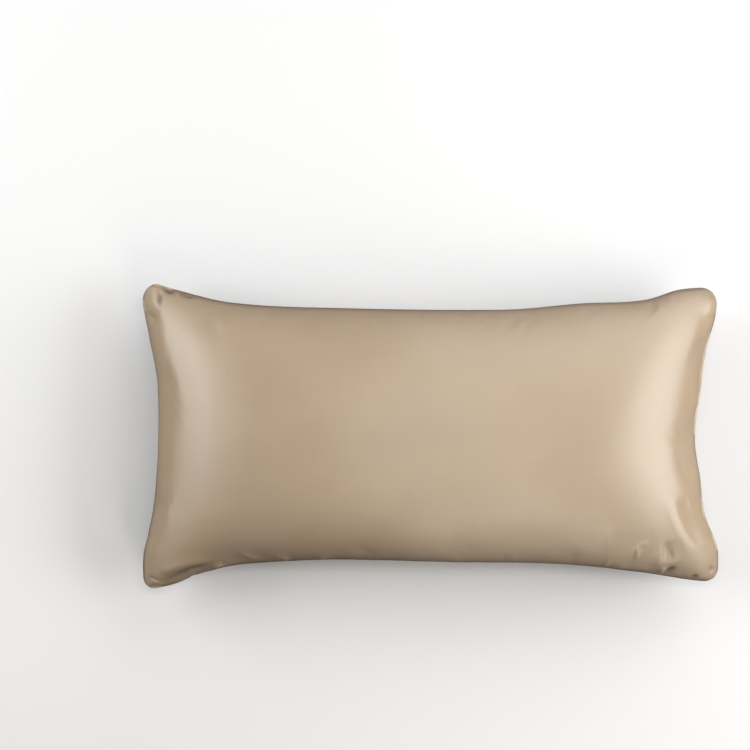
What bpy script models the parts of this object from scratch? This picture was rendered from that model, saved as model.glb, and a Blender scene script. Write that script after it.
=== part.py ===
"""A king-size satin pillowcase, plumped by its pillow and lying on its back.

Two equal satin panels are sewn together all round with a knife-edge seam. The filling bows both panels out,
draws the four seams in between the corners, and leaves the corners standing out as soft rounded ears. The
seam gathers the cloth, so short puckers and creases run in from it, most of all beside the corners.

Units are metres. The case lies with its long side along X and its front panel facing +Z. The underside rests
on z = 0, and the origin is below the middle of the case.
"""
import math

import bmesh
import bpy
from mathutils import Vector

# ----------------------------------------------------------------------------------------------------------
# Driving sizes
# ----------------------------------------------------------------------------------------------------------
TIP_LENGTH = 0.890          # along X, from corner tip to corner tip
TIP_WIDTH = 0.472           # along Y, from corner tip to corner tip
LOFT = 0.205                # from the surface it lies on to the top of the crown
SEAM_HEIGHT = 0.090         # of the seam's middle above that surface, halfway along a side
CORNER_DROOP = 0.022        # how far the ears hang below that
DROOP_POWER_X = 3           # higher powers keep the droop closer to the ears
DROOP_POWER_Y = 2
SEAM_THICKNESS = 0.003      # two turned cloth edges pressed together
SEAM_RIM = 0.0028           # width of the pressed rim that stands out past the filled part
BACK_FULLNESS = 0.104       # how deep the back would bow if nothing held it up

# The crown is a product of two arches, one along X and one along Y. A higher power keeps an arch flat for
# longer before it falls to the seam on that side, and a higher root makes it leave the seam less steeply.
ARCH_POWERS = {
    # side: rows of (share of the side's length, power)
    "left": (
        (0.00, 3.2),
        (1.00, 3.2),
    ),
    "right": (
        (0.00, 2.4),
        (1.00, 2.4),
    ),
    "bottom": (
        (0.00, 2.0),
        (0.17, 2.3),
        (0.30, 3.5),
        (0.42, 4.0),
        (0.55, 2.9),
        (0.68, 2.5),
        (0.85, 2.6),
        (1.00, 3.2),
    ),
    "top": (
        (0.00, 2.2),
        (0.30, 2.3),
        (0.45, 2.4),
        (0.60, 2.0),
        (0.75, 1.8),
        (1.00, 3.0),
    ),
}
ARCH_ROOT = 0.54

# The filling pushes the middle of the two long seams up, and lets the bottom one sag beside its left ear.
SEAM_LIFTS = (
    # side (-1 bottom, 1 top), x, half length, height
    (-1.0, -0.035, 0.130, 0.012),
    (1.0, -0.040, 0.140, 0.010),
    (-1.0, -0.310, 0.090, -0.026),
)

# Where the underside meets the surface it lies on, it rolls onto it over this height.
REST_ROLL = 0.006

# Each crease fades out at its two ends, and all creases fade out where a panel is less full than this.
CREASE_FADE = 0.08
RELIEF_FULLNESS = 0.33

# Mesh cells across one panel. They are smaller beside the seam, where the creases are.
CELLS_X = 66
CELLS_Y = 38
CROWDING = 0.78             # 0 makes the cells even, 1 crowds them fully against the seam
EDGE_TOLERANCE = 0.0001     # a grid line further out than 1 by more than this is the outermost

CASE_COLOUR = (0.565, 0.440, 0.315, 1.0)    # champagne satin
CASE_ROUGHNESS = 0.38
SHARP_EDGE_ANGLE = 50.0     # degrees, so that only the rim's own edges are shaded sharp

# ----------------------------------------------------------------------------------------------------------
# The seam's outline. Each side runs between two corner points, and dips inward by the stated distance at the
# stated share of its length. Left and right run from the bottom up, bottom and top from left to right.
# ----------------------------------------------------------------------------------------------------------
CORNERS = {
    # corner: (x, y, radius of its rounded tip)
    "bottom_left": (-0.445, -0.2375, 0.020),
    "bottom_right": (0.445, -0.225, 0.022),
    "top_left": (-0.445, 0.2380, 0.023),
    "top_right": (0.445, 0.233, 0.027),
}

SEAM_DIPS = {
    # side: rows of (share of the side's length, inward dip)
    "bottom": (
        (0.000, 0.000),
        (0.050, 0.008),
        (0.110, 0.026),
        (0.180, 0.038),
        (0.340, 0.046),
        (0.540, 0.040),
        (0.730, 0.033),
        (0.860, 0.019),
        (0.950, 0.005),
        (1.000, 0.000),
    ),
    "top": (
        (0.000, 0.000),
        (0.025, 0.001),
        (0.055, 0.009),
        (0.155, 0.029),
        (0.330, 0.037),
        (0.620, 0.038),
        (0.760, 0.028),
        (0.870, 0.021),
        (0.935, 0.005),
        (1.000, 0.000),
    ),
    "left": (
        (0.000, 0.000),
        (0.110, 0.001),
        (0.190, 0.009),
        (0.300, 0.019),
        (0.500, 0.025),
        (0.680, 0.023),
        (0.830, 0.010),
        (0.930, 0.001),
        (1.000, 0.000),
    ),
    "right": (
        (0.000, 0.000),
        (0.110, 0.002),
        (0.230, 0.022),
        (0.350, 0.030),
        (0.500, 0.038),
        (0.660, 0.030),
        (0.790, 0.020),
        (0.900, 0.005),
        (1.000, 0.000),
    ),
}

# ----------------------------------------------------------------------------------------------------------
# Main creases of the front panel: soft troughs (a positive depth) and ridges (a negative one) between two
# points, each with a half width, a depth, and a bow to one side of the straight line between its ends.
# ----------------------------------------------------------------------------------------------------------
CREASES = (
    # start x, start y, end x, end y, half width, depth, bow
    (-0.413, 0.220, -0.411, 0.195, 0.006, 0.005, 0.000),    # dimple down from the top left tip
    (-0.404, 0.222, -0.360, 0.211, 0.006, 0.006, 0.000),    # pleats from that tip along the top seam
    (-0.438, 0.191, -0.420, 0.176, 0.007, 0.006, 0.000),    # hollow below that tip, at the left seam
    (-0.340, 0.203, -0.322, 0.152, 0.010, 0.003, 0.000),    # soft dent down from the pleats
    (-0.421, -0.222, -0.367, -0.208, 0.005, 0.002, 0.002),  # crease from the bottom left tip along the seam
    (-0.418, -0.209, -0.330, -0.186, 0.009, -0.005, 0.002),  # the ridge above that crease
    (-0.392, -0.211, -0.318, -0.188, 0.014, 0.003, 0.003),  # broad trough between that ridge and the seam
    (-0.335, -0.190, -0.225, -0.182, 0.014, 0.002, 0.000),  # the same trough further along the bottom seam
    (-0.408, 0.180, -0.398, -0.150, 0.012, -0.003, -0.012),  # roll beside the left seam
    (0.379, -0.088, 0.416, -0.163, 0.008, 0.005, -0.002),   # long fold up from the bottom right tip
    (0.352, -0.088, 0.404, -0.180, 0.012, -0.004, -0.004),  # the ridge inside it
    (0.362, -0.157, 0.379, -0.187, 0.008, 0.005, 0.000),    # hollow between that ridge and the bottom seam
    (0.345, -0.160, 0.345, -0.200, 0.008, -0.004, 0.000),   # gather up from the right end of the bottom seam
    (0.430, 0.218, 0.418, 0.150, 0.014, -0.004, 0.000),     # fullness of the top right ear
    (0.418, 0.191, 0.402, 0.055, 0.009, 0.003, 0.003),      # valley along the upper right seam
)

# The filling's own unevenness: soft swells (positive) and hollows of the front panel.
SWELLS = (
    # x, y, radius along X, radius along Y, height
    (0.300, 0.060, 0.110, 0.130, 0.003),
    (-0.290, -0.080, 0.120, 0.090, -0.003),
    (0.060, 0.050, 0.160, 0.110, 0.002),
    (0.330, -0.170, 0.060, 0.035, -0.004),
    (-0.365, 0.085, 0.040, 0.060, 0.0015),
    (-0.262, 0.005, 0.035, 0.055, 0.0015),
    (0.170, -0.165, 0.090, 0.035, -0.006),
    (0.120, 0.178, 0.110, 0.035, -0.004),
)


def smooth_run(rows, share):
    """The value at a share of a side's length, on a smooth curve through rows of (share, value)."""
    last = len(rows) - 1
    index = 0
    while index < last - 1 and share > rows[index + 1][0]:
        index += 1
    near, far = rows[index], rows[index + 1]
    span = far[0] - near[0]

    def slope(at):
        before, after = rows[max(at - 1, 0)], rows[min(at + 1, last)]
        return (after[1] - before[1]) / (after[0] - before[0])

    t = (share - near[0]) / span
    curve = (2.0 * t ** 3 - 3.0 * t ** 2 + 1.0) * near[1] + (3.0 * t ** 2 - 2.0 * t ** 3) * far[1]
    curve += (t ** 3 - 2.0 * t ** 2 + t) * span * slope(index)
    curve += (t ** 3 - t ** 2) * span * slope(index + 1)
    return curve


def blend(low, high, share):
    """The value a share of the way from low to high."""
    return low + (high - low) * share


def corner_value(column, share_x, share_y):
    """A column of the corner table, blended between the four corners."""
    bottom = blend(CORNERS["bottom_left"][column], CORNERS["bottom_right"][column], share_x)
    top = blend(CORNERS["top_left"][column], CORNERS["top_right"][column], share_x)
    return blend(bottom, top, share_y)


def round_corner(u, v):
    """Moves a panel point (u and v from -1 to 1) so that the square panel's corners become round."""
    radius = corner_value(2, 0.0 if u < 0.0 else 1.0, 0.0 if v < 0.0 else 1.0)
    inner_u = 1.0 - 2.0 * radius / TIP_LENGTH
    inner_v = 1.0 - 2.0 * radius / TIP_WIDTH
    past_u = (abs(u) - inner_u) / (1.0 - inner_u)
    past_v = (abs(v) - inner_v) / (1.0 - inner_v)
    if past_u <= 0.0 or past_v <= 0.0:
        return u, v
    round_u = past_u * math.sqrt(1.0 - past_v ** 2 / 2.0)
    round_v = past_v * math.sqrt(1.0 - past_u ** 2 / 2.0)
    return (
        math.copysign(blend(inner_u, 1.0, round_u), u),
        math.copysign(blend(inner_v, 1.0, round_v), v),
    )


def plan_point(u, v):
    """Where a panel point lies seen from above, between the four drawn-in seams."""
    u, v = round_corner(u, v)
    share_x = (u + 1.0) / 2.0
    share_y = (v + 1.0) / 2.0
    x = corner_value(0, share_x, share_y)
    y = corner_value(1, share_x, share_y)
    x += blend(smooth_run(SEAM_DIPS["left"], share_y), -smooth_run(SEAM_DIPS["right"], share_y), share_x)
    y += blend(smooth_run(SEAM_DIPS["bottom"], share_x), -smooth_run(SEAM_DIPS["top"], share_x), share_y)
    return x, y


def arch(at, along, low_side, high_side):
    """Height of an arch that is 1 in the middle and 0 at its feet on the two named sides, at -1 and at 1."""
    power = smooth_run(ARCH_POWERS[low_side if at < 0.0 else high_side], (along + 1.0) / 2.0)
    return max(0.0, 1.0 - abs(at) ** power) ** ARCH_ROOT


def fullness(u, v):
    """How far the filling bows a panel out, from 0 on the pressed rim to 1 in the middle."""
    filled_u = u / (1.0 - 2.0 * SEAM_RIM / TIP_LENGTH)
    filled_v = v / (1.0 - 2.0 * SEAM_RIM / TIP_WIDTH)
    return arch(filled_u, v, "left", "right") * arch(filled_v, u, "bottom", "top")


def seam_level(u, v):
    """Height of the seam's plane, which is lower towards the ears and lifts or sags along the long sides."""
    x, _ = plan_point(u, v)
    level = SEAM_HEIGHT - CORNER_DROOP * abs(u) ** DROOP_POWER_X * abs(v) ** DROOP_POWER_Y
    for side, middle_x, half_length, lift in SEAM_LIFTS:
        level += lift * math.exp(-((x - middle_x) / half_length) ** 2) * max(0.0, v * side) ** 2
    return level


def crease_depth(x, y):
    """Total depth of the front panel's creases at a point."""
    total = 0.0
    point = Vector((x, y))
    for start_x, start_y, end_x, end_y, half_width, depth, bow in CREASES:
        start = Vector((start_x, start_y))
        run = Vector((end_x, end_y)) - start
        share = max(0.0, min(1.0, (point - start).dot(run) / run.length_squared))
        side = Vector((-run.y, run.x)).normalized()
        fold = start + run * share + side * bow * math.sin(math.pi * share)
        taper = math.sin(math.pi * blend(CREASE_FADE, 1.0 - CREASE_FADE, share))
        total += depth * taper * math.exp(-((point - fold).length / half_width) ** 2)
    return total


def swell_height(x, y):
    """Total height of the filling's swells and hollows at a point."""
    total = 0.0
    for swell_x, swell_y, radius_x, radius_y, height in SWELLS:
        distance = ((x - swell_x) / radius_x) ** 2 + ((y - swell_y) / radius_y) ** 2
        total += height * math.exp(-distance)
    return total


def front_height(u, v):
    """Height of the front panel above the surface the case lies on."""
    x, y = plan_point(u, v)
    full = fullness(u, v)
    crease = min(1.0, full / RELIEF_FULLNESS) * crease_depth(x, y)
    return blend(seam_level(u, v) + SEAM_THICKNESS / 2.0, LOFT, full) + full * swell_height(x, y) - crease


def back_height(u, v):
    """Height of the back panel, which lies flat where it would bow below the surface."""
    free = blend(seam_level(u, v) - SEAM_THICKNESS / 2.0, SEAM_HEIGHT - BACK_FULLNESS, fullness(u, v))
    if free > REST_ROLL:
        return free
    if free < -REST_ROLL:
        return 0.0
    return (free + REST_ROLL) ** 2 / (4.0 * REST_ROLL)


def cell_corner(place, cells, rim):
    """Crowds an even grid line (-1 to 1) towards the seam. The outermost cell gets the rim's width."""
    inner = place * cells / (cells - 2)
    if abs(inner) > 1.0 + EDGE_TOLERANCE:
        return math.copysign(1.0, place)
    quarter = math.pi / 2.0 * CROWDING
    return (1.0 - rim) * math.sin(quarter * inner) / math.sin(quarter)


def panel_mesh(height):
    """One panel: a plain grid whose points are moved to their place between the seams and to their height."""
    panel = bmesh.new()
    bmesh.ops.create_grid(panel, x_segments=CELLS_X, y_segments=CELLS_Y, size=1.0)
    for vert in panel.verts:
        u = cell_corner(vert.co.x, CELLS_X, 2.0 * SEAM_RIM / TIP_LENGTH)
        v = cell_corner(vert.co.y, CELLS_Y, 2.0 * SEAM_RIM / TIP_WIDTH)
        vert.co.x, vert.co.y = plan_point(u, v)
        vert.co.z = height(u, v)
    mesh = bpy.data.meshes.new("panel")
    panel.to_mesh(mesh)
    panel.free()
    return mesh


def centre_over_origin(mesh):
    """Shifts a mesh along X and Y so that the middle of its box is over the origin."""
    for axis in (0, 1):
        places = [vert.co[axis] for vert in mesh.vertices]
        middle = (min(places) + max(places)) / 2.0
        for vert in mesh.vertices:
            vert.co[axis] -= middle


def make_filled_case(collection):
    """Sews the two panels together along their rims, and returns the filled case as one closed body."""
    body = bmesh.new()
    front = panel_mesh(front_height)
    back = panel_mesh(back_height)
    body.from_mesh(back)
    bmesh.ops.reverse_faces(body, faces=body.faces)
    body.from_mesh(front)
    rims = [edge for edge in body.edges if edge.is_boundary]
    bmesh.ops.bridge_loops(body, edges=rims)
    bmesh.ops.recalc_face_normals(body, faces=body.faces)
    mesh = bpy.data.meshes.new("filled_case")
    body.to_mesh(mesh)
    body.free()
    bpy.data.meshes.remove(front)
    bpy.data.meshes.remove(back)
    centre_over_origin(mesh)
    mesh.shade_smooth()
    mesh.set_sharp_from_angle(angle=math.radians(SHARP_EDGE_ANGLE))
    case = bpy.data.objects.new("filled_case", mesh)
    case.data.materials.append(satin())
    collection.objects.link(case)
    return case


def satin():
    """Champagne satin: a soft, broad gloss and no metal."""
    material = bpy.data.materials.new("champagne_satin")
    material.use_nodes = True
    shader = material.node_tree.nodes["Principled BSDF"]
    shader.inputs["Base Color"].default_value = CASE_COLOUR
    shader.inputs["Roughness"].default_value = CASE_ROUGHNESS
    shader.inputs["Metallic"].default_value = 0.0
    return material


for leftover in list(bpy.data.objects):
    bpy.data.objects.remove(leftover, do_unlink=True)
pillowcase = bpy.data.collections.new("satin_pillowcase")
bpy.context.scene.collection.children.link(pillowcase)
make_filled_case(pillowcase)
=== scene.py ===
import math
import random

import bmesh
import bpy
import numpy as np
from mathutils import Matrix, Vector


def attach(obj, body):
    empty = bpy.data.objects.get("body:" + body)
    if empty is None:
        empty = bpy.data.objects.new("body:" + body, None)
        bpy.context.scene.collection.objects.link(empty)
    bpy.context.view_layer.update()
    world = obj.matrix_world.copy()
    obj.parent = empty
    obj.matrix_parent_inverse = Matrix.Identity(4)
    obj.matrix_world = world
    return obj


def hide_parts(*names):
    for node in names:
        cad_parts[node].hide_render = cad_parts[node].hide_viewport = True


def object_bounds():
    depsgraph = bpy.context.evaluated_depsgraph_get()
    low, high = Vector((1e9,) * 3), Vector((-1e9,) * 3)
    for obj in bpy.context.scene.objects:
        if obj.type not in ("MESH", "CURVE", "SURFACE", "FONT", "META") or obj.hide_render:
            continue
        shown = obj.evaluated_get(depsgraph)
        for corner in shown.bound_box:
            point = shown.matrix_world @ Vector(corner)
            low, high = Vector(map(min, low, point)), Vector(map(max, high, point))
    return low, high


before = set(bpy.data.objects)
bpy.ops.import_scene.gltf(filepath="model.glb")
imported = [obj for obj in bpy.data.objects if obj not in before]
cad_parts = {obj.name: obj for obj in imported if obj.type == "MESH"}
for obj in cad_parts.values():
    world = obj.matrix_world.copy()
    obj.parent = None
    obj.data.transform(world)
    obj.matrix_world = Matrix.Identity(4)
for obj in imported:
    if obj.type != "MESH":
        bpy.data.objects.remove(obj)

cad_box = [list(corner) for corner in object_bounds()]

# ----------------------------------------------------------------------------------------------------------
# The satin case. Two king-size panels of champagne satin, sewn edge to edge all round and turned out, then
# plumped by the pillow inside: the panels bow out, the four seams draw in, and the corners stand out as ears.
# ----------------------------------------------------------------------------------------------------------
CUT_LENGTH = 0.914          # one panel flat, seam to seam
CUT_WIDTH = 0.508
TIP_LENGTH = 0.890          # filled, from corner tip to corner tip
TIP_WIDTH = 0.472
SWELL_ALLOWANCE = 0.002     # the filling's swells lift the top of the crown by up to about this
LOFT = cad_box[1][2] - cad_box[0][2] - SWELL_ALLOWANCE
SEAM_HEIGHT = 0.090         # of the seam above the floor, halfway along a side
SEAM_WIDTH = 0.0028         # of the pressed rim, which stands out past the filled part
CORNER_DROOP = 0.022        # how far the ears hang below the seam's height
BACK_FULLNESS = 0.104       # how deep the back would bow if the floor didn't hold it up
DROOP_POWER_X = 3           # higher powers keep the droop closer to the ears
DROOP_POWER_Y = 2
ARCH_ROOT = 0.54            # a higher root makes the crown leave the seam less steeply
REST_ROLL = 0.006           # height over which the back rolls onto the floor
CASE_CELLS_X = 148          # mesh cells across a panel before the last subdivision
CASE_CELLS_Y = 80
CROWDING = 0.82             # 0 makes the cells even, 1 crowds them fully against the seam
BACK_THREADS = 1.2          # panel widths by which the back's threads are mapped below the front's

CORNERS = {
    # corner: (x, y, radius of its rounded tip)
    "bottom_left": (-0.445, -0.2375, 0.020),
    "bottom_right": (0.445, -0.225, 0.022),
    "top_left": (-0.445, 0.2380, 0.023),
    "top_right": (0.445, 0.233, 0.027),
}

SEAM_DIPS = {
    # side: rows of (share of the side's length, inward dip of its seam)
    "bottom": ((0.00, 0.000), (0.05, 0.008), (0.11, 0.026), (0.18, 0.038), (0.34, 0.046),
               (0.54, 0.040), (0.73, 0.033), (0.86, 0.019), (0.95, 0.005), (1.00, 0.000)),
    "top": ((0.00, 0.000), (0.025, 0.001), (0.055, 0.009), (0.155, 0.029), (0.33, 0.037),
            (0.62, 0.038), (0.76, 0.028), (0.87, 0.021), (0.935, 0.005), (1.00, 0.000)),
    "left": ((0.00, 0.000), (0.11, 0.001), (0.19, 0.009), (0.30, 0.019), (0.50, 0.025),
             (0.68, 0.023), (0.83, 0.010), (0.93, 0.001), (1.00, 0.000)),
    "right": ((0.00, 0.000), (0.11, 0.002), (0.23, 0.022), (0.35, 0.030), (0.50, 0.038),
              (0.66, 0.030), (0.79, 0.020), (0.90, 0.005), (1.00, 0.000)),
}

ARCH_POWERS = {
    # side: rows of (share of its length, power). The crown is an arch along X times an arch along Y, and each
    # stays flat for longer at a higher power.
    "left": ((0.0, 3.2), (1.0, 3.2)),
    "right": ((0.0, 2.4), (1.0, 2.4)),
    "bottom": ((0.00, 2.0), (0.17, 2.3), (0.30, 3.5), (0.42, 4.0), (0.55, 2.9), (0.68, 2.5), (0.85, 2.6),
               (1.00, 3.2)),
    "top": ((0.00, 2.2), (0.30, 2.3), (0.45, 2.4), (0.60, 2.0), (0.75, 1.8), (1.00, 3.0)),
}

SEAM_LIFTS = (
    # side (-1 bottom, 1 top), x, half length, height by which the filling pushes the seam up or lets it sag
    (-1.0, -0.035, 0.130, 0.012),
    (1.0, -0.040, 0.140, 0.010),
    (-1.0, -0.310, 0.090, -0.026),
)

SWELLS = (
    # x, y, radius along X, radius along Y, height of a soft swell in the filling
    (0.300, 0.060, 0.110, 0.130, 0.003),
    (-0.290, -0.080, 0.120, 0.090, -0.003),
    (0.060, 0.050, 0.160, 0.110, 0.002),
    (0.330, -0.170, 0.060, 0.035, -0.004),
    (-0.365, 0.085, 0.040, 0.060, 0.0015),
    (-0.262, 0.005, 0.035, 0.055, 0.0015),
    (0.170, -0.165, 0.090, 0.035, -0.006),
    (0.120, 0.178, 0.110, 0.035, -0.004),
)


def smooth_run(rows, share):
    """Values at the given shares, on a smooth curve through rows of (share, value)."""
    at, value = np.array(rows).T
    slope = np.empty_like(value)
    slope[1:-1] = (value[2:] - value[:-2]) / (at[2:] - at[:-2])
    slope[0] = (value[1] - value[0]) / (at[1] - at[0])
    slope[-1] = (value[-1] - value[-2]) / (at[-1] - at[-2])
    near = np.clip(np.searchsorted(at, share, side="right") - 1, 0, len(at) - 2)
    span = at[near + 1] - at[near]
    t = (share - at[near]) / span
    curve = (2 * t ** 3 - 3 * t ** 2 + 1) * value[near] + (3 * t ** 2 - 2 * t ** 3) * value[near + 1]
    curve += (t ** 3 - 2 * t ** 2 + t) * span * slope[near]
    curve += (t ** 3 - t ** 2) * span * slope[near + 1]
    return curve


def blend(low, high, share):
    """The value a share of the way from low to high."""
    return low + (high - low) * share


def corner_value(column, share_x, share_y):
    """A column of the corner table, blended between the four corners."""
    bottom = blend(CORNERS["bottom_left"][column], CORNERS["bottom_right"][column], share_x)
    top = blend(CORNERS["top_left"][column], CORNERS["top_right"][column], share_x)
    return blend(bottom, top, share_y)


def plan_point(u, v):
    """Where panel points (u and v from -1 to 1) lie seen from above, between the four drawn-in seams."""
    radius = corner_value(2, (u > 0.0) * 1.0, (v > 0.0) * 1.0)
    inner_u = 1.0 - 2.0 * radius / TIP_LENGTH
    inner_v = 1.0 - 2.0 * radius / TIP_WIDTH
    past_u = (np.abs(u) - inner_u) / (1.0 - inner_u)
    past_v = (np.abs(v) - inner_v) / (1.0 - inner_v)
    tip = (past_u > 0.0) & (past_v > 0.0)
    round_u = past_u * np.sqrt(1.0 - np.clip(past_v, 0.0, 1.0) ** 2 / 2.0)
    round_v = past_v * np.sqrt(1.0 - np.clip(past_u, 0.0, 1.0) ** 2 / 2.0)
    u = np.where(tip, np.sign(u) * blend(inner_u, 1.0, round_u), u)
    v = np.where(tip, np.sign(v) * blend(inner_v, 1.0, round_v), v)
    share_x = (u + 1.0) / 2.0
    share_y = (v + 1.0) / 2.0
    x = corner_value(0, share_x, share_y)
    y = corner_value(1, share_x, share_y)
    x += blend(smooth_run(SEAM_DIPS["left"], share_y), -smooth_run(SEAM_DIPS["right"], share_y), share_x)
    y += blend(smooth_run(SEAM_DIPS["bottom"], share_x), -smooth_run(SEAM_DIPS["top"], share_x), share_y)
    return x, y


def arch(at, along, low_side, high_side):
    """Height of an arch that is 1 in the middle and 0 at its feet on the two named sides, at -1 and at 1."""
    share = (along + 1.0) / 2.0
    low_power = smooth_run(ARCH_POWERS[low_side], share)
    high_power = smooth_run(ARCH_POWERS[high_side], share)
    power = np.where(at < 0.0, low_power, high_power)
    return np.clip(1.0 - np.abs(at) ** power, 0.0, 1.0) ** ARCH_ROOT


def seam_level(u, v, x):
    """Height of the seam's plane, which is lower towards the ears and lifts or sags along the long sides."""
    level = SEAM_HEIGHT - CORNER_DROOP * np.abs(u) ** DROOP_POWER_X * np.abs(v) ** DROOP_POWER_Y
    for side, middle_x, half_length, lift in SEAM_LIFTS:
        level = level + lift * np.exp(-((x - middle_x) / half_length) ** 2) * np.clip(v * side, 0.0, 1.0) ** 2
    return level


def swell_height(x, y):
    """Height of the filling's swells at points of the front panel."""
    height = np.zeros_like(x)
    for swell_x, swell_y, radius_x, radius_y, rise in SWELLS:
        height += rise * np.exp(-((x - swell_x) / radius_x) ** 2 - ((y - swell_y) / radius_y) ** 2)
    return height


def crowd(count):
    """Grid lines from -1 to 1, closer together towards the two ends."""
    quarter = math.pi / 2.0 * CROWDING
    return np.sin(quarter * np.linspace(-1.0, 1.0, count + 1)) / math.sin(quarter)


panel_u, panel_v = np.meshgrid(crowd(CASE_CELLS_X), crowd(CASE_CELLS_Y))
case_x, case_y = plan_point(panel_u * (1.0 - 2.0 * SEAM_WIDTH / TIP_LENGTH),
                            panel_v * (1.0 - 2.0 * SEAM_WIDTH / TIP_WIDTH))
seam_x, seam_y = plan_point(panel_u, panel_v)
middle = ((seam_x.min() + seam_x.max()) / 2.0, (seam_y.min() + seam_y.max()) / 2.0)
case_x, case_y = case_x - middle[0], case_y - middle[1]
seam_x, seam_y = seam_x - middle[0], seam_y - middle[1]

full = arch(panel_u, panel_v, "left", "right") * arch(panel_v, panel_u, "bottom", "top")
level = seam_level(panel_u, panel_v, case_x)
front_z = blend(level, LOFT, full) + full * swell_height(case_x, case_y)
free_z = blend(level, SEAM_HEIGHT - BACK_FULLNESS, full)
rolled_z = np.clip(free_z + REST_ROLL, 0.0, None) ** 2 / (4.0 * REST_ROLL)
back_z = np.where(free_z > REST_ROLL, free_z, rolled_z)
to_seam = np.minimum((1.0 - np.abs(panel_u)) * TIP_LENGTH / 2.0, (1.0 - np.abs(panel_v)) * TIP_WIDTH / 2.0)

rows, columns = panel_u.shape
inside = (slice(1, -1), slice(1, -1))
front_index = np.arange(rows * columns).reshape(rows, columns)
back_index = front_index.copy()
back_index[inside] = rows * columns + np.arange((rows - 2) * (columns - 2)).reshape(rows - 2, columns - 2)
rim_index = np.concatenate((
    front_index[0, :-1],
    front_index[:-1, -1],
    front_index[-1, :0:-1],
    front_index[:0:-1, 0],
))


def both_panels(front, back):
    """Grids of the two panels' values as one list of points, in which the rim's points are shared."""
    depth = front.shape[2:]
    return np.concatenate((front.reshape(-1, *depth), back[inside].reshape(-1, *depth)))


def quads(grid):
    """The four corners of each cell of a grid, one row a cell."""
    return np.stack((grid[:-1, :-1], grid[:-1, 1:], grid[1:, 1:], grid[1:, :-1]), axis=-1).reshape(-1, 4)


def sewn_mesh(points):
    """One closed mesh of the two panels. Its UV map is the cut cloth in metres. "to_seam" holds each point's
    distance to the seam, above 0 on the front panel and below 0 on the back one."""
    mesh = bpy.data.meshes.new("satin_case")
    faces = np.concatenate((quads(front_index), quads(back_index)[:, ::-1]))
    mesh.from_pydata(points.tolist(), [], faces.tolist())
    cloth_x, cloth_y = panel_u * CUT_LENGTH / 2.0, panel_v * CUT_WIDTH / 2.0
    corner_x = np.concatenate((quads(cloth_x), quads(cloth_x)[:, ::-1])).ravel()
    back_y = cloth_y - CUT_WIDTH * BACK_THREADS
    corner_y = np.concatenate((quads(cloth_y), quads(back_y)[:, ::-1])).ravel()
    thread = mesh.uv_layers.new(name="thread")
    thread.uv.foreach_set("vector", np.stack((corner_x, corner_y), axis=-1).astype(np.float32).ravel())
    distance = mesh.attributes.new("to_seam", "FLOAT", "POINT")
    distance.data.foreach_set("value", both_panels(to_seam, -to_seam).astype(np.float32))
    rim = set(rim_index.tolist())
    crease = mesh.attributes.new("crease_edge", "FLOAT", "EDGE")
    crease.data.foreach_set("value", [1.0 * (set(edge.vertices) <= rim) for edge in mesh.edges])
    return mesh


start = both_panels(np.stack((case_x, case_y, front_z), axis=-1), np.stack((case_x, case_y, back_z), axis=-1))
case = bpy.data.objects.new("satin_case", sewn_mesh(start))
bpy.context.scene.collection.objects.link(case)

# The filling presses the cloth out against the seam, so the spare cloth of the flat panels buckles into
# creases that run in from the seam. The filling keeps the panels' broad form, so only the creases are taken
# from the simulation.
CLOTH_FRAMES = 10
CLOTH_QUALITY = 6           # solver steps a frame
CLOTH_MASS = 0.15           # of each point
CLOTH_PRESSURE = 4.0
CLOTH_STRETCH = 20.0        # stiffness against stretching and against squeezing
CLOTH_SHEAR = 5.0
CLOTH_BENDING = 0.3
CLOTH_SLACK = 1.012         # rest size of the panels over the flat cut: the stitches draw the rim up
FLAT_GAP = 0.0005           # of each flat panel from the plane of the seam
CREASE_CAP = 0.003          # how far a crease may stand off the filled form
CREASE_REACH = 0.040        # the filling holds the cloth smooth past about this distance from the seam
BROAD_PASSES = 30           # smoothing steps that tell the broad form from the creases


def creases_alone(move):
    """The points' movement near the seam, less its broad part along the seam and across the panels."""
    near_seam = np.exp(-(to_seam / CREASE_REACH) ** 2)[:, :, None]
    seam = move[rim_index]
    for _ in range(BROAD_PASSES):
        seam = (np.roll(seam, 1, axis=0) + seam + np.roll(seam, -1, axis=0)) / 3.0
    kept = []
    for index in (front_index, back_index):
        broad = move.copy()
        broad[rim_index] = seam
        broad = broad[index]
        for _ in range(BROAD_PASSES):
            broad[inside] = (broad[:-2, 1:-1] + broad[2:, 1:-1] + broad[1:-1, :-2] + broad[1:-1, 2:]) / 4.0
        kept.append((move[index] - broad) * near_seam)
    return both_panels(*kept)


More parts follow.
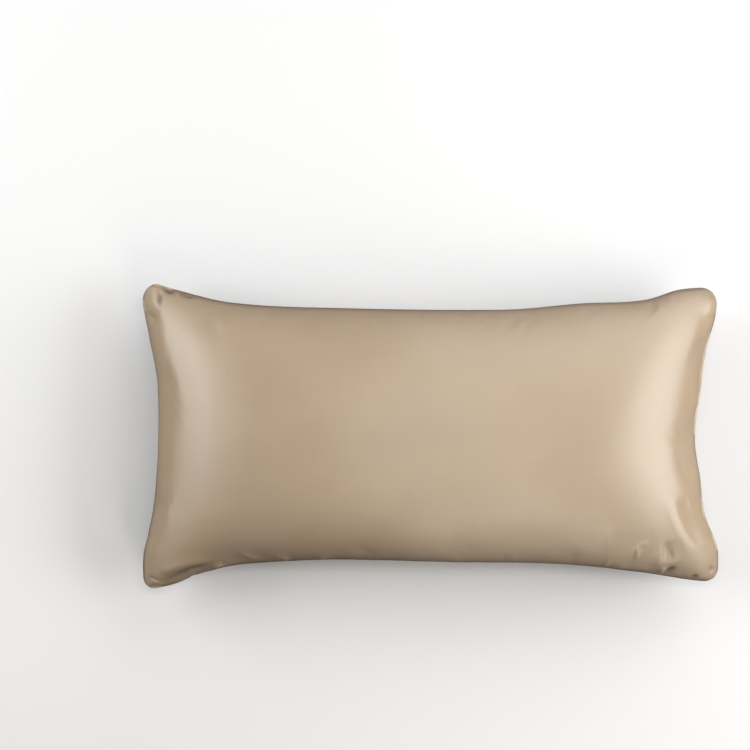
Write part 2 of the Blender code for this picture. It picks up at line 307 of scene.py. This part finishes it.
def buckled(points):
    """The case's points after the filling has pressed the cut cloth out."""
    flat_x, flat_y = panel_u * CUT_LENGTH / 2.0 * CLOTH_SLACK, panel_v * CUT_WIDTH / 2.0 * CLOTH_SLACK
    lift = np.zeros_like(flat_x)
    lift[inside] = FLAT_GAP
    flat = both_panels(np.stack((flat_x, flat_y, lift), axis=-1), np.stack((flat_x, flat_y, -lift), axis=-1))
    case.shape_key_add(name="filled")
    cut = case.shape_key_add(name="cut")
    cut.data.foreach_set("co", flat.astype(np.float32).ravel())
    cut.value = 0.0
    resting = case.vertex_groups.new(name="resting")
    on_floor = (back_z < REST_ROLL / 4.0) & (to_seam > 0.0)
    resting.add(back_index[on_floor].tolist(), 1.0, "REPLACE")
    cloth = case.modifiers.new("Cloth", "CLOTH")
    fabric = cloth.settings
    fabric.quality = CLOTH_QUALITY
    fabric.mass = CLOTH_MASS
    fabric.tension_stiffness = CLOTH_STRETCH
    fabric.compression_stiffness = CLOTH_STRETCH
    fabric.shear_stiffness = CLOTH_SHEAR
    fabric.bending_stiffness = CLOTH_BENDING
    fabric.use_pressure = True
    fabric.uniform_pressure_force = CLOTH_PRESSURE
    fabric.effector_weights.gravity = 0.0
    fabric.vertex_group_mass = "resting"
    fabric.rest_shape_key = cut
    cloth.collision_settings.use_collision = False
    cloth.point_cache.frame_start = 1
    cloth.point_cache.frame_end = CLOTH_FRAMES
    for step in range(1, CLOTH_FRAMES + 1):
        bpy.context.scene.frame_set(step)
    pressed = case.evaluated_get(bpy.context.evaluated_depsgraph_get())
    settled = np.empty(len(points) * 3, dtype=np.float32)
    pressed.data.vertices.foreach_get("co", settled)
    case.modifiers.clear()
    case.shape_key_clear()
    case.vertex_groups.clear()
    bpy.context.scene.frame_set(1)
    move = creases_alone(settled.reshape(-1, 3) - points)
    length = np.linalg.norm(move, axis=1, keepdims=True) + 1e-9
    return points + move * CREASE_CAP * np.tanh(length / CREASE_CAP) / length


settled = buckled(start)
settled[:, 2] = np.clip(settled[:, 2], 0.0, None)
case.data.vertices.foreach_set("co", settled.astype(np.float32).ravel())
case.data.update()

# Folds of the front panel: soft troughs (positive depth) and ridges (negative) between two points. The crest
# is rounded over its own radius, so a small one makes a sharp crease and a big one a soft roll.
FOLDS = (
    # start x, start y, end x, end y, half width, crest radius, depth, bow
    # top left ear
    (-0.4175, 0.2250, -0.4160, 0.2030, 0.0020, 0.001, 0.0040, 0.000),
    (-0.4125, 0.2300, -0.3930, 0.2225, 0.0028, 0.001, 0.0060, 0.000),
    (-0.3880, 0.2215, -0.3650, 0.2180, 0.0016, 0.0005, 0.0040, 0.000),
    (-0.3840, 0.2175, -0.3560, 0.2155, 0.0016, 0.0005, 0.0035, 0.000),
    (-0.340, 0.203, -0.322, 0.152, 0.0080, 0.008, 0.0018, 0.000),
    (-0.273, 0.179, -0.245, 0.174, 0.0050, 0.005, 0.0010, 0.000),
    (-0.440, 0.190, -0.420, 0.176, 0.0055, 0.004, 0.0060, 0.000),
    # roll beside the left seam
    (-0.408, 0.180, -0.398, -0.150, 0.0100, 0.010, -0.0020, -0.012),
    # bottom left ear
    (-0.416, -0.2255, -0.338, -0.1985, 0.0060, 0.001, 0.0050, 0.002),
    (-0.418, -0.2090, -0.330, -0.1860, 0.0075, 0.004, -0.0050, 0.002),
    (-0.402, -0.2140, -0.322, -0.1870, 0.0120, 0.008, 0.0035, 0.003),
    (-0.430, -0.2215, -0.414, -0.229, 0.0015, 0.0005, -0.0020, 0.000),
    (-0.434, -0.2165, -0.417, -0.223, 0.0015, 0.0005, 0.0020, 0.000),
    (-0.335, -0.190, -0.225, -0.182, 0.0120, 0.008, 0.0020, 0.000),
    (-0.338, -0.203, -0.319, -0.198, 0.0020, 0.001, -0.0030, 0.000),
    (-0.291, -0.176, -0.259, -0.192, 0.0030, 0.002, -0.0030, 0.000),
    (-0.237, -0.178, -0.216, -0.189, 0.0030, 0.002, -0.0025, 0.000),
    (-0.172, -0.178, -0.158, -0.184, 0.0040, 0.004, -0.0018, 0.000),
    # bottom right ear
    (0.379, -0.088, 0.4100, -0.163, 0.0085, 0.006, 0.0035, -0.002),
    (0.370, -0.018, 0.3950, -0.072, 0.0070, 0.006, 0.0022, -0.001),
    (0.352, -0.088, 0.4035, -0.180, 0.0100, 0.010, -0.0030, -0.004),
    (0.3510, -0.157, 0.3630, -0.192, 0.0095, 0.005, 0.0060, 0.000),
    (0.3200, -0.201, 0.4050, -0.213, 0.0090, 0.006, 0.0030, 0.000),
    (0.3450, -0.160, 0.3445, -0.200, 0.0060, 0.004, -0.0035, 0.000),
    (0.3115, -0.163, 0.3085, -0.186, 0.0022, 0.001, -0.0030, 0.000),
    (0.3120, -0.163, 0.3250, -0.155, 0.0022, 0.001, -0.0015, 0.000),
    (0.265, -0.126, 0.270, -0.189, 0.0060, 0.006, -0.0015, 0.000),
    (0.350, -0.211, 0.359, -0.200, 0.0018, 0.0005, -0.0045, 0.002),
    (0.357, -0.2125, 0.373, -0.199, 0.0030, 0.001, 0.0040, 0.000),
    (0.261, -0.200, 0.271, -0.187, 0.0015, 0.0005, -0.0025, 0.000),
    (0.288, -0.203, 0.293, -0.197, 0.0015, 0.0005, -0.0020, 0.000),
    (0.323, -0.2075, 0.333, -0.196, 0.0015, 0.0005, -0.0025, 0.000),
    (0.399, -0.2185, 0.411, -0.2150, 0.0025, 0.001, 0.0040, 0.000),
    (0.429, -0.200, 0.433, -0.2100, 0.0030, 0.001, 0.0022, 0.000),
    # top right ear and the pucker halfway down the right seam
    (0.436, 0.222, 0.428, 0.186, 0.0120, 0.008, -0.0045, 0.000),
    (0.418, 0.191, 0.402, 0.055, 0.0070, 0.007, 0.0025, 0.003),
    (0.3995, 0.061, 0.404, 0.045, 0.0030, 0.002, -0.0025, 0.000),
)
CREST_COLUMN = 5            # of a fold's row, where its crest radius stands
FOLD_FADE = 0.05            # share of a fold's length over which each end fades in
FIRST_SLOPE = 0.5           # how steeply a fold falls beside its crest, as a share of its later slope
RELIEF_FADE = 0.003         # all relief fades out over this distance from the seam
SHADED_CREASE_CREST = 0.001          # a trough at least this tight gets painted shade in the cloth's colour
FULL_SHADE_DEPTH = 0.0045         # a trough this deep has the full painted shade
CREASE_SHADE_TONE = 0.45            # share of its colour that the cloth keeps under the full painted shade of such a crease

PUCKERS = 150               # small gathers along the whole seam, on each panel
PUCKER_LENGTHS = (0.008, 0.024)
PUCKER_HALF_WIDTHS = (0.0022, 0.0045)
PUCKER_DEPTHS = (0.0003, 0.0010)
PUCKER_SIGNS = (1.0, 1.0, -0.7)     # on average two troughs to each ridge, and the ridges are lower
PUCKER_JITTER = 0.45        # how uneven their steps are, as a share of an even step
PUCKER_SLANT = 0.6          # how far they may lean along the seam, over how far they run in
FRONT_SEED = 7
BACK_SEED = 11


def fold_depth(x, y, start_x, start_y, end_x, end_y, half_width, crest_radius, depth, bow):
    """Depth of one fold at points of a panel."""
    run_x, run_y = end_x - start_x, end_y - start_y
    length = math.hypot(run_x, run_y)
    share = np.clip(((x - start_x) * run_x + (y - start_y) * run_y) / length ** 2, 0.0, 1.0)
    arc = bow * np.sin(math.pi * share)
    off_x = x - start_x - run_x * share + run_y / length * arc
    off_y = y - start_y - run_y * share - run_x / length * arc
    off = np.sqrt(off_x ** 2 + off_y ** 2 + crest_radius ** 2) - crest_radius
    taper = np.sin(math.pi * blend(FOLD_FADE, 1.0 - FOLD_FADE, share))
    return depth * taper * np.exp(-off / half_width * np.minimum(1.0, off / half_width + FIRST_SLOPE))


def pucker_rows(seed):
    """Rows like those of the folds, for short gathers that run in from the seam at uneven steps."""
    draw = random.Random(seed)
    rim_x, rim_y = case_x.ravel()[rim_index], case_y.ravel()[rim_index]
    step_x, step_y = np.roll(rim_x, -1) - rim_x, np.roll(rim_y, -1) - rim_y
    way = np.concatenate(([0.0], np.cumsum(np.hypot(step_x, step_y))))
    found = []
    for number in range(PUCKERS):
        place = (number + draw.uniform(-PUCKER_JITTER, PUCKER_JITTER)) / PUCKERS * way[-1] % way[-1]
        at = int(np.searchsorted(way, place, side="right")) - 1
        along = np.array((step_x[at], step_y[at])) / math.hypot(step_x[at], step_y[at])
        inward = np.array((-along[1], along[0])) + along * draw.uniform(-PUCKER_SLANT, PUCKER_SLANT)
        root = np.array((rim_x[at], rim_y[at]))
        tip = root + inward * draw.uniform(*PUCKER_LENGTHS)
        half_width = draw.uniform(*PUCKER_HALF_WIDTHS)
        depth = draw.uniform(*PUCKER_DEPTHS) * draw.choice(PUCKER_SIGNS)
        found.append((*root, *tip, half_width, half_width / 2.0, depth, 0.0))
    return found


def subdivided(piece):
    """The piece's mesh after one subdivision that keeps the rim sharp."""
    smooth = piece.modifiers.new("Subdivision", "SUBSURF")
    smooth.levels = 1
    depsgraph = bpy.context.evaluated_depsgraph_get()
    mesh = bpy.data.meshes.new_from_object(piece.evaluated_get(depsgraph), depsgraph=depsgraph)
    piece.modifiers.clear()
    return mesh


coarse = case.data
case.data = subdivided(case)
bpy.data.meshes.remove(coarse)
case.data.name = "satin_case"
points = np.empty(len(case.data.vertices) * 3, dtype=np.float32)
normals = points.copy()
side = np.empty(len(case.data.vertices), dtype=np.float32)
case.data.vertices.foreach_get("co", points)
case.data.vertices.foreach_get("normal", normals)
case.data.attributes["to_seam"].data.foreach_get("value", side)
points, normals = points.reshape(-1, 3), normals.reshape(-1, 3)
# Painted shade: along tight troughs the cloth's colour is darkened, as the shade in a crease would darken it,
# and this point attribute carries how much.
crease_shade = np.zeros_like(side)
for sign, rows_of_folds in ((1.0, FOLDS + tuple(pucker_rows(FRONT_SEED))), (-1.0, pucker_rows(BACK_SEED))):
    own = side * sign > 0.0
    x, y = points[own, 0], points[own, 1]
    depth = np.zeros_like(x)
    for row in rows_of_folds:
        own_depth = fold_depth(x, y, *row)
        depth += own_depth
        if row[CREST_COLUMN] <= SHADED_CREASE_CREST:
            crease_shade[own] = np.maximum(crease_shade[own], own_depth / FULL_SHADE_DEPTH)
    fade = np.clip(side[own] * sign / RELIEF_FADE, 0.0, 1.0)
    points[own] -= normals[own] * (depth * fade)[:, None]
points[:, 2] = np.clip(points[:, 2], 0.0, None)
case.data.vertices.foreach_set("co", points.ravel())
case.data.attributes.new("crease_shade", "FLOAT", "POINT").data.foreach_set("value", np.clip(crease_shade, 0.0, 1.0))
case.data.update()
case.data.shade_smooth()


THREAD_PITCH = 0.0004       # between neighbouring threads
FLOAT_THREADS = 5.0         # how many threads each glossy warp thread floats over
SLUB_WIDTH = 0.0011         # of the thicker stretches of thread, which show as faint lines
SLUB_LENGTH = 0.070
CLOUD_SIZE = 0.110          # of the soft unevenness in the dye and the pressing
CREPE_SIZE = 0.009          # of the fine crumple that handling leaves
WARM_SATIN = (0.480, 0.361, 0.242, 1.0)
PALE_SATIN = (0.520, 0.393, 0.268, 1.0)
TONE_RANGE = (0.45, 0.85)   # of the weave's tone, from the warmest to the palest stretches
FLOAT_STEP = 0.4            # shift of every second row of floats, as a share of a float
THREAD_GAP = 0.22           # between threads, as a share of their pitch
CASE_ROUGHNESS = 0.45
SATIN_IOR = 1.56
GLOSS_STRETCH = 0.8         # how far the gloss is drawn out in one direction
GLOSS_TURN = 0.25           # of a full turn, from the case's long side to its short one

# How much each part of the weave adds to the cloth's tone, to its roughness and to its relief.
WEAVE_TONE = {"clouds": 0.7, "warp_slubs": 0.4, "weft_slubs": 0.3, "floats": -0.25}
WEAVE_ROUGHNESS = {"clouds": 0.05, "warp_slubs": 0.05, "crepe": -0.10}
WEAVE_RELIEF = {"floats": -0.006, "warp_slubs": 0.03, "weft_slubs": 0.02, "crepe": 0.25}


def satin_weave():
    """Tone, roughness and relief of a satin weave, from the cut cloth's own coordinates in metres."""
    group = bpy.data.node_groups.new("satin_weave", "ShaderNodeTree")
    group.interface.new_socket(name="Thread", in_out="INPUT", socket_type="NodeSocketVector")
    gloss = group.interface.new_socket(name="Mean Roughness", in_out="INPUT", socket_type="NodeSocketFloat")
    gloss.default_value = CASE_ROUGHNESS
    group.interface.new_socket(name="Tone", in_out="OUTPUT", socket_type="NodeSocketFloat")
    group.interface.new_socket(name="Roughness", in_out="OUTPUT", socket_type="NodeSocketFloat")
    group.interface.new_socket(name="Height", in_out="OUTPUT", socket_type="NodeSocketFloat")
    nodes, links = group.nodes, group.links
    entry, leave = nodes.new("NodeGroupInput"), nodes.new("NodeGroupOutput")

    def unevenness(length, width, detail):
        """Noise from 0 to 1 whose patches have the given size along the warp (Y) and across it."""
        stretch, noise = nodes.new("ShaderNodeMapping"), nodes.new("ShaderNodeTexNoise")
        stretch.vector_type = "POINT"
        stretch.inputs["Scale"].default_value = (1.0 / width, 1.0 / length, 1.0)
        noise.inputs["Scale"].default_value = 1.0
        noise.inputs["Detail"].default_value = detail
        links.new(entry.outputs["Thread"], stretch.inputs["Vector"])
        links.new(stretch.outputs["Vector"], noise.inputs["Vector"])
        return noise.outputs["Fac"]

    def total(factors):
        """Sum of the named parts of the weave, each times its factor."""
        running = None
        for part, factor in factors.items():
            step = nodes.new("ShaderNodeMath")
            step.operation = "MULTIPLY_ADD"
            step.inputs[1].default_value = factor
            step.inputs[2].default_value = 0.0
            links.new(parts[part], step.inputs[0])
            if running:
                links.new(running, step.inputs[2])
            running = step.outputs["Value"]
        return running

    turned = nodes.new("ShaderNodeMapping")
    turned.inputs["Rotation"].default_value = (0.0, 0.0, math.pi / 2.0)
    floats = nodes.new("ShaderNodeTexBrick")
    floats.offset = FLOAT_STEP
    floats.inputs["Scale"].default_value = 1.0
    floats.inputs["Brick Width"].default_value = THREAD_PITCH * FLOAT_THREADS
    floats.inputs["Row Height"].default_value = THREAD_PITCH
    floats.inputs["Mortar Size"].default_value = THREAD_PITCH * THREAD_GAP
    floats.inputs["Mortar Smooth"].default_value = 1.0
    links.new(entry.outputs["Thread"], turned.inputs["Vector"])
    links.new(turned.outputs["Vector"], floats.inputs["Vector"])

    parts = {
        "warp_slubs": unevenness(SLUB_LENGTH, SLUB_WIDTH, 1.0),
        "weft_slubs": unevenness(SLUB_WIDTH, SLUB_LENGTH, 1.0),
        "clouds": unevenness(CLOUD_SIZE, CLOUD_SIZE, 2.0),
        "crepe": unevenness(CREPE_SIZE * 2.0, CREPE_SIZE, 2.0),
        "floats": floats.outputs["Fac"],
    }
    links.new(total(WEAVE_TONE), leave.inputs["Tone"])
    uneven_gloss = nodes.new("ShaderNodeMath")
    uneven_gloss.operation = "ADD"
    links.new(entry.outputs["Mean Roughness"], uneven_gloss.inputs[0])
    links.new(total(WEAVE_ROUGHNESS), uneven_gloss.inputs[1])
    links.new(uneven_gloss.outputs["Value"], leave.inputs["Roughness"])
    links.new(total(WEAVE_RELIEF), leave.inputs["Height"])
    return group


weave = satin_weave()


def satin_material(name, darkest, palest, roughness, relief):
    """Satin: a broad white gloss, drawn out in one direction, over a warm matt ground."""
    material = bpy.data.materials.new(name)
    material.use_nodes = True
    nodes, links = material.node_tree.nodes, material.node_tree.links
    shader = nodes["Principled BSDF"]
    shader.inputs["IOR"].default_value = SATIN_IOR
    shader.inputs["Specular IOR Level"].default_value = 1.0
    shader.inputs["Anisotropic"].default_value = GLOSS_STRETCH
    shader.inputs["Anisotropic Rotation"].default_value = GLOSS_TURN
    place = nodes.new("ShaderNodeUVMap")
    place.uv_map = "thread"
    cloth = nodes.new("ShaderNodeGroup")
    cloth.node_tree = weave
    cloth.inputs["Mean Roughness"].default_value = roughness
    links.new(place.outputs["UV"], cloth.inputs["Thread"])
    dye = nodes.new("ShaderNodeValToRGB")
    for element, position, colour in zip(dye.color_ramp.elements, TONE_RANGE, (darkest, palest)):
        element.position = position
        element.color = colour
    links.new(cloth.outputs["Tone"], dye.inputs["Fac"])
    # Painted shade: the colour is darkened along tight creases by the point attribute that the case's mesh
    # carries.
    crease_shade_input = nodes.new("ShaderNodeAttribute")
    crease_shade_input.attribute_name = "crease_shade"
    crease_darkening = nodes.new("ShaderNodeMapRange")
    crease_darkening.inputs["To Min"].default_value = 1.0
    crease_darkening.inputs["To Max"].default_value = CREASE_SHADE_TONE
    dye_with_painted_shade = nodes.new("ShaderNodeVectorMath")
    dye_with_painted_shade.operation = "SCALE"
    links.new(crease_shade_input.outputs["Fac"], crease_darkening.inputs["Value"])
    links.new(dye.outputs["Color"], dye_with_painted_shade.inputs["Vector"])
    links.new(crease_darkening.outputs["Result"], dye_with_painted_shade.inputs["Scale"])
    links.new(dye_with_painted_shade.outputs["Vector"], shader.inputs["Base Color"])
    links.new(cloth.outputs["Roughness"], shader.inputs["Roughness"])
    bump = nodes.new("ShaderNodeBump")
    bump.inputs["Strength"].default_value = 1.0
    bump.inputs["Distance"].default_value = relief
    links.new(cloth.outputs["Height"], bump.inputs["Height"])
    links.new(bump.outputs["Normal"], shader.inputs["Normal"])
    threads = nodes.new("ShaderNodeTangent")
    threads.direction_type = "UV_MAP"
    threads.uv_map = "thread"
    links.new(threads.outputs["Tangent"], shader.inputs["Tangent"])
    return material


satin = satin_material("champagne_satin", WARM_SATIN, PALE_SATIN, roughness=CASE_ROUGHNESS, relief=0.0003)
case.data.materials.append(satin)
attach(case, "root")
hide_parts("filled_case")

# ----------------------------------------------------------------------------------------------------------
# The pressed seam. The two panels' turned edges, stitched through and pressed flat into a narrow lip that
# runs all round the case and waves a little where the gathers pull on it.
# ----------------------------------------------------------------------------------------------------------
SEAM_THICKNESS = 0.0022
SEAM_PROFILE = (
    # across the seam (0 is the panels' rim, 1 the outer edge), height in half thicknesses
    (-0.70, 0.00),
    (-0.10, 0.85),
    (0.15, 0.55),
    (0.45, 1.00),
    (0.80, 0.85),
    (0.97, 0.35),
    (0.97, -0.35),
    (0.80, -0.85),
    (0.45, -1.00),
    (0.15, -0.55),
    (-0.10, -0.85),
)
SEAM_WAVE = 0.0006          # how far the lip mostly waves up and down
WAVE_COUNT = 14             # waves that are summed along it
WAVE_TURNS = (30, 140)      # how many times one may rise and fall round the case
WAVE_SIZES = (0.2, 1.0)
WAVE_SUM = 3.0              # their sum stays within this height for nine tenths of the way
WAVE_SEED = 5
SEAM_DROOP = 0.0070         # how far its outer edge turns down, away from the fuller front panel
SEAM_SHADE_DARK = (0.240, 0.160, 0.100, 1.0)      # painted shade: the seam's cloth is coloured about half as light as the panels', standing for the shade along its edge
SEAM_SHADE_PALE = (0.300, 0.210, 0.135, 1.0)

TURNED_UP = (
    # x, y, reach: where the lip turns up instead and takes the panels' own satin colour, free of the seam's
    # painted shade
    (-0.412, 0.231, 0.018),
    (-0.442, 0.203, 0.010),
    (-0.428, -0.232, 0.014),
    (0.414, 0.080, 0.095),
    (0.428, -0.135, 0.050),
)
UNSHADED_SHARE = 0.3            # past this share of a full turn the lip drops its painted shade and takes the panels' satin

outward = np.stack((seam_x - case_x, seam_y - case_y, 0.0 * seam_x), axis=-1).reshape(-1, 3)[rim_index]
rim_points = settled[rim_index]


def finer(loop):
    """A closed loop of points with a smooth midpoint between each two."""
    before, after, beyond = (np.roll(loop, shift, axis=0) for shift in (1, -1, -2))
    mid = (9.0 * (loop + after) - before - beyond) / 16.0
    return np.stack((loop, mid), axis=1).reshape(-1, loop.shape[1])


rim_points, outward = finer(rim_points), finer(outward)
count = len(rim_points)
draw = random.Random(WAVE_SEED)
waves = []
for _ in range(WAVE_COUNT):
    waves.append((draw.randint(*WAVE_TURNS), draw.uniform(0.0, 2.0 * math.pi), draw.uniform(*WAVE_SIZES)))
turn = np.arange(count) / count * 2.0 * math.pi
wave = sum(size * np.sin(turns * turn + phase) for turns, phase, size in waves) / WAVE_SUM
turned_up = np.zeros(count)
for up_x, up_y, reach in TURNED_UP:
    way = np.hypot(rim_points[:, 0] - up_x, rim_points[:, 1] - up_y)
    turned_up = np.maximum(turned_up, 1.0 - (way / reach) ** 2)
lip = []
for across, height in SEAM_PROFILE:
    ring = rim_points + outward * across
    outer = max(0.0, across)
    ring[:, 2] += height * SEAM_THICKNESS / 2.0 + (SEAM_WAVE * wave - SEAM_DROOP * (1.0 - turned_up)) * outer
    lip.append(ring)
lip = np.stack(lip, axis=1)
lip_index = np.arange(lip.shape[0] * lip.shape[1]).reshape(lip.shape[:2])
lip_index = np.concatenate((lip_index, lip_index[:1]), axis=0)
lip_index = np.concatenate((lip_index, lip_index[:, :1]), axis=1)
seam_mesh = bpy.data.meshes.new("pressed_seam")
seam_mesh.from_pydata(lip.reshape(-1, 3).tolist(), [], quads(lip_index)[:, ::-1].tolist())
seam_mesh.shade_smooth()
seam_run = np.arange(count + 1) * (2.0 * (CUT_LENGTH + CUT_WIDTH) / count)
seam_girth = np.arange(len(SEAM_PROFILE) + 1) * SEAM_THICKNESS / 2.0
run_grid, girth_grid = np.meshgrid(seam_run, seam_girth, indexing="ij")
seam_thread = np.stack((quads(run_grid)[:, ::-1].ravel(), quads(girth_grid)[:, ::-1].ravel()), axis=-1)
seam_mesh.uv_layers.new(name="thread").uv.foreach_set("vector", seam_thread.astype(np.float32).ravel())
# Painted shade: the lip takes the darker seam colours, save where it turns up, which take the panels' own
# satin.
shaded_seam_satin = satin_material("shaded_seam_satin", SEAM_SHADE_DARK, SEAM_SHADE_PALE, roughness=0.55, relief=0.0002)
seam_mesh.materials.append(shaded_seam_satin)
seam_mesh.materials.append(satin)
lip_unshaded = np.repeat(turned_up > UNSHADED_SHARE, len(SEAM_PROFILE))
seam_mesh.polygons.foreach_set("material_index", lip_unshaded.astype(np.int32))
seam = bpy.data.objects.new("pressed_seam", seam_mesh)
bpy.context.scene.collection.objects.link(seam)
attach(seam, "root")

# ----------------------------------------------------------------------------------------------------------
# Floor, light and camera. A pale studio floor, two big softboxes on the right and one on the left, a weak
# fill overhead and another beside the bottom seam, and a camera that looks straight down on the front panel.
# ----------------------------------------------------------------------------------------------------------
PHOTO_SIZE = 750.0
METRES_PER_PIXEL = TIP_LENGTH / 575.0
CASE_CENTRE_PIXEL = (430.5, 436.3)
CAMERA_HEIGHT = 2.7
FOCUS_HEIGHT = 0.068        # the level at which a pixel has exactly the size above
FLOOR_TONE = 0.92           # the floor is pale to the eye, but throws little light back up on the case
FLOOR_BOUNCE = 0.10
FLOOR_REACH = 6.0           # from its middle to its edge
FLOOR_DROP = 0.0005         # below the level on which the case lies
PAPER_ROUGHNESS = 0.9
SENSOR_WIDTH = 36.0         # of the camera, in millimetres

floor_mesh = bpy.data.meshes.new("studio_floor")
floor_shape = bmesh.new()
bmesh.ops.create_grid(floor_shape, x_segments=1, y_segments=1, size=FLOOR_REACH)
floor_shape.to_mesh(floor_mesh)
floor_shape.free()
floor = bpy.data.objects.new("studio_floor", floor_mesh)
floor.location.z = -FLOOR_DROP
bpy.context.scene.collection.objects.link(floor)
paper = bpy.data.materials.new("pale_paper")
paper.use_nodes = True
paper_shader = paper.node_tree.nodes["Principled BSDF"]
paper_shader.inputs["Roughness"].default_value = PAPER_ROUGHNESS
ray = paper.node_tree.nodes.new("ShaderNodeLightPath")
paper_tone = paper.node_tree.nodes.new("ShaderNodeMapRange")
paper_tone.inputs["To Min"].default_value = FLOOR_BOUNCE
paper_tone.inputs["To Max"].default_value = FLOOR_TONE
paper.node_tree.links.new(ray.outputs["Is Camera Ray"], paper_tone.inputs["Value"])
paper.node_tree.links.new(paper_tone.outputs["Result"], paper_shader.inputs["Base Color"])
floor_mesh.materials.append(paper)

LIGHT_DISTANCE = 2.8        # from the middle of the case
LIGHTS = (
    # name, degrees from straight above, degrees round from +X, width, height, watts, colour
    ("right_softbox", 60.0, 0.0, 2.2, 1.5, 58.0, (1.0, 1.0, 1.0)),
    ("upper_right_softbox", 60.0, 60.0, 2.2, 1.5, 30.0, (1.0, 1.0, 1.0)),
    ("left_softbox", 60.0, 160.0, 2.2, 1.5, 48.0, (1.0, 1.0, 1.0)),
    ("overhead_fill", 10.0, 80.0, 1.2, 0.5, 12.5, (1.0, 1.0, 1.0)),
    ("lower_fill", 50.0, 290.0, 0.5, 1.5, 15.5, (1.0, 0.92, 0.82)),
)
for name, tilt, turn, width, height, watts, colour in LIGHTS:
    tilt, turn = math.radians(tilt), math.radians(turn)
    way = Vector((math.sin(tilt) * math.cos(turn), math.sin(tilt) * math.sin(turn), math.cos(tilt)))
    softbox = bpy.data.lights.new(name, "AREA")
    softbox.shape = "RECTANGLE"
    softbox.size = width
    softbox.size_y = height
    softbox.energy = watts
    softbox.color = colour
    lamp = bpy.data.objects.new(name, softbox)
    lamp.location = Vector((0.0, 0.0, LOFT / 2.0)) + way * LIGHT_DISTANCE
    lamp.rotation_euler = way.to_track_quat("Z", "Y").to_euler()
    bpy.context.scene.collection.objects.link(lamp)

room = bpy.data.worlds.new("studio_room")
room.use_nodes = True
room.node_tree.nodes["Background"].inputs["Color"].default_value = (1.0, 1.0, 1.0, 1.0)
room.node_tree.nodes["Background"].inputs["Strength"].default_value = 0.0
bpy.context.scene.world = room
bpy.context.scene.view_settings.view_transform = "Standard"

camera = bpy.data.cameras.new("camera")
eye = bpy.data.objects.new("camera", camera)
camera.sensor_width = SENSOR_WIDTH
camera.lens = camera.sensor_width * (CAMERA_HEIGHT - FOCUS_HEIGHT) / (PHOTO_SIZE * METRES_PER_PIXEL)
eye.location = (
    (PHOTO_SIZE / 2.0 - CASE_CENTRE_PIXEL[0]) * METRES_PER_PIXEL,
    (CASE_CENTRE_PIXEL[1] - PHOTO_SIZE / 2.0) * METRES_PER_PIXEL,
    CAMERA_HEIGHT,
)
bpy.context.scene.collection.objects.link(eye)
bpy.context.scene.camera = eye
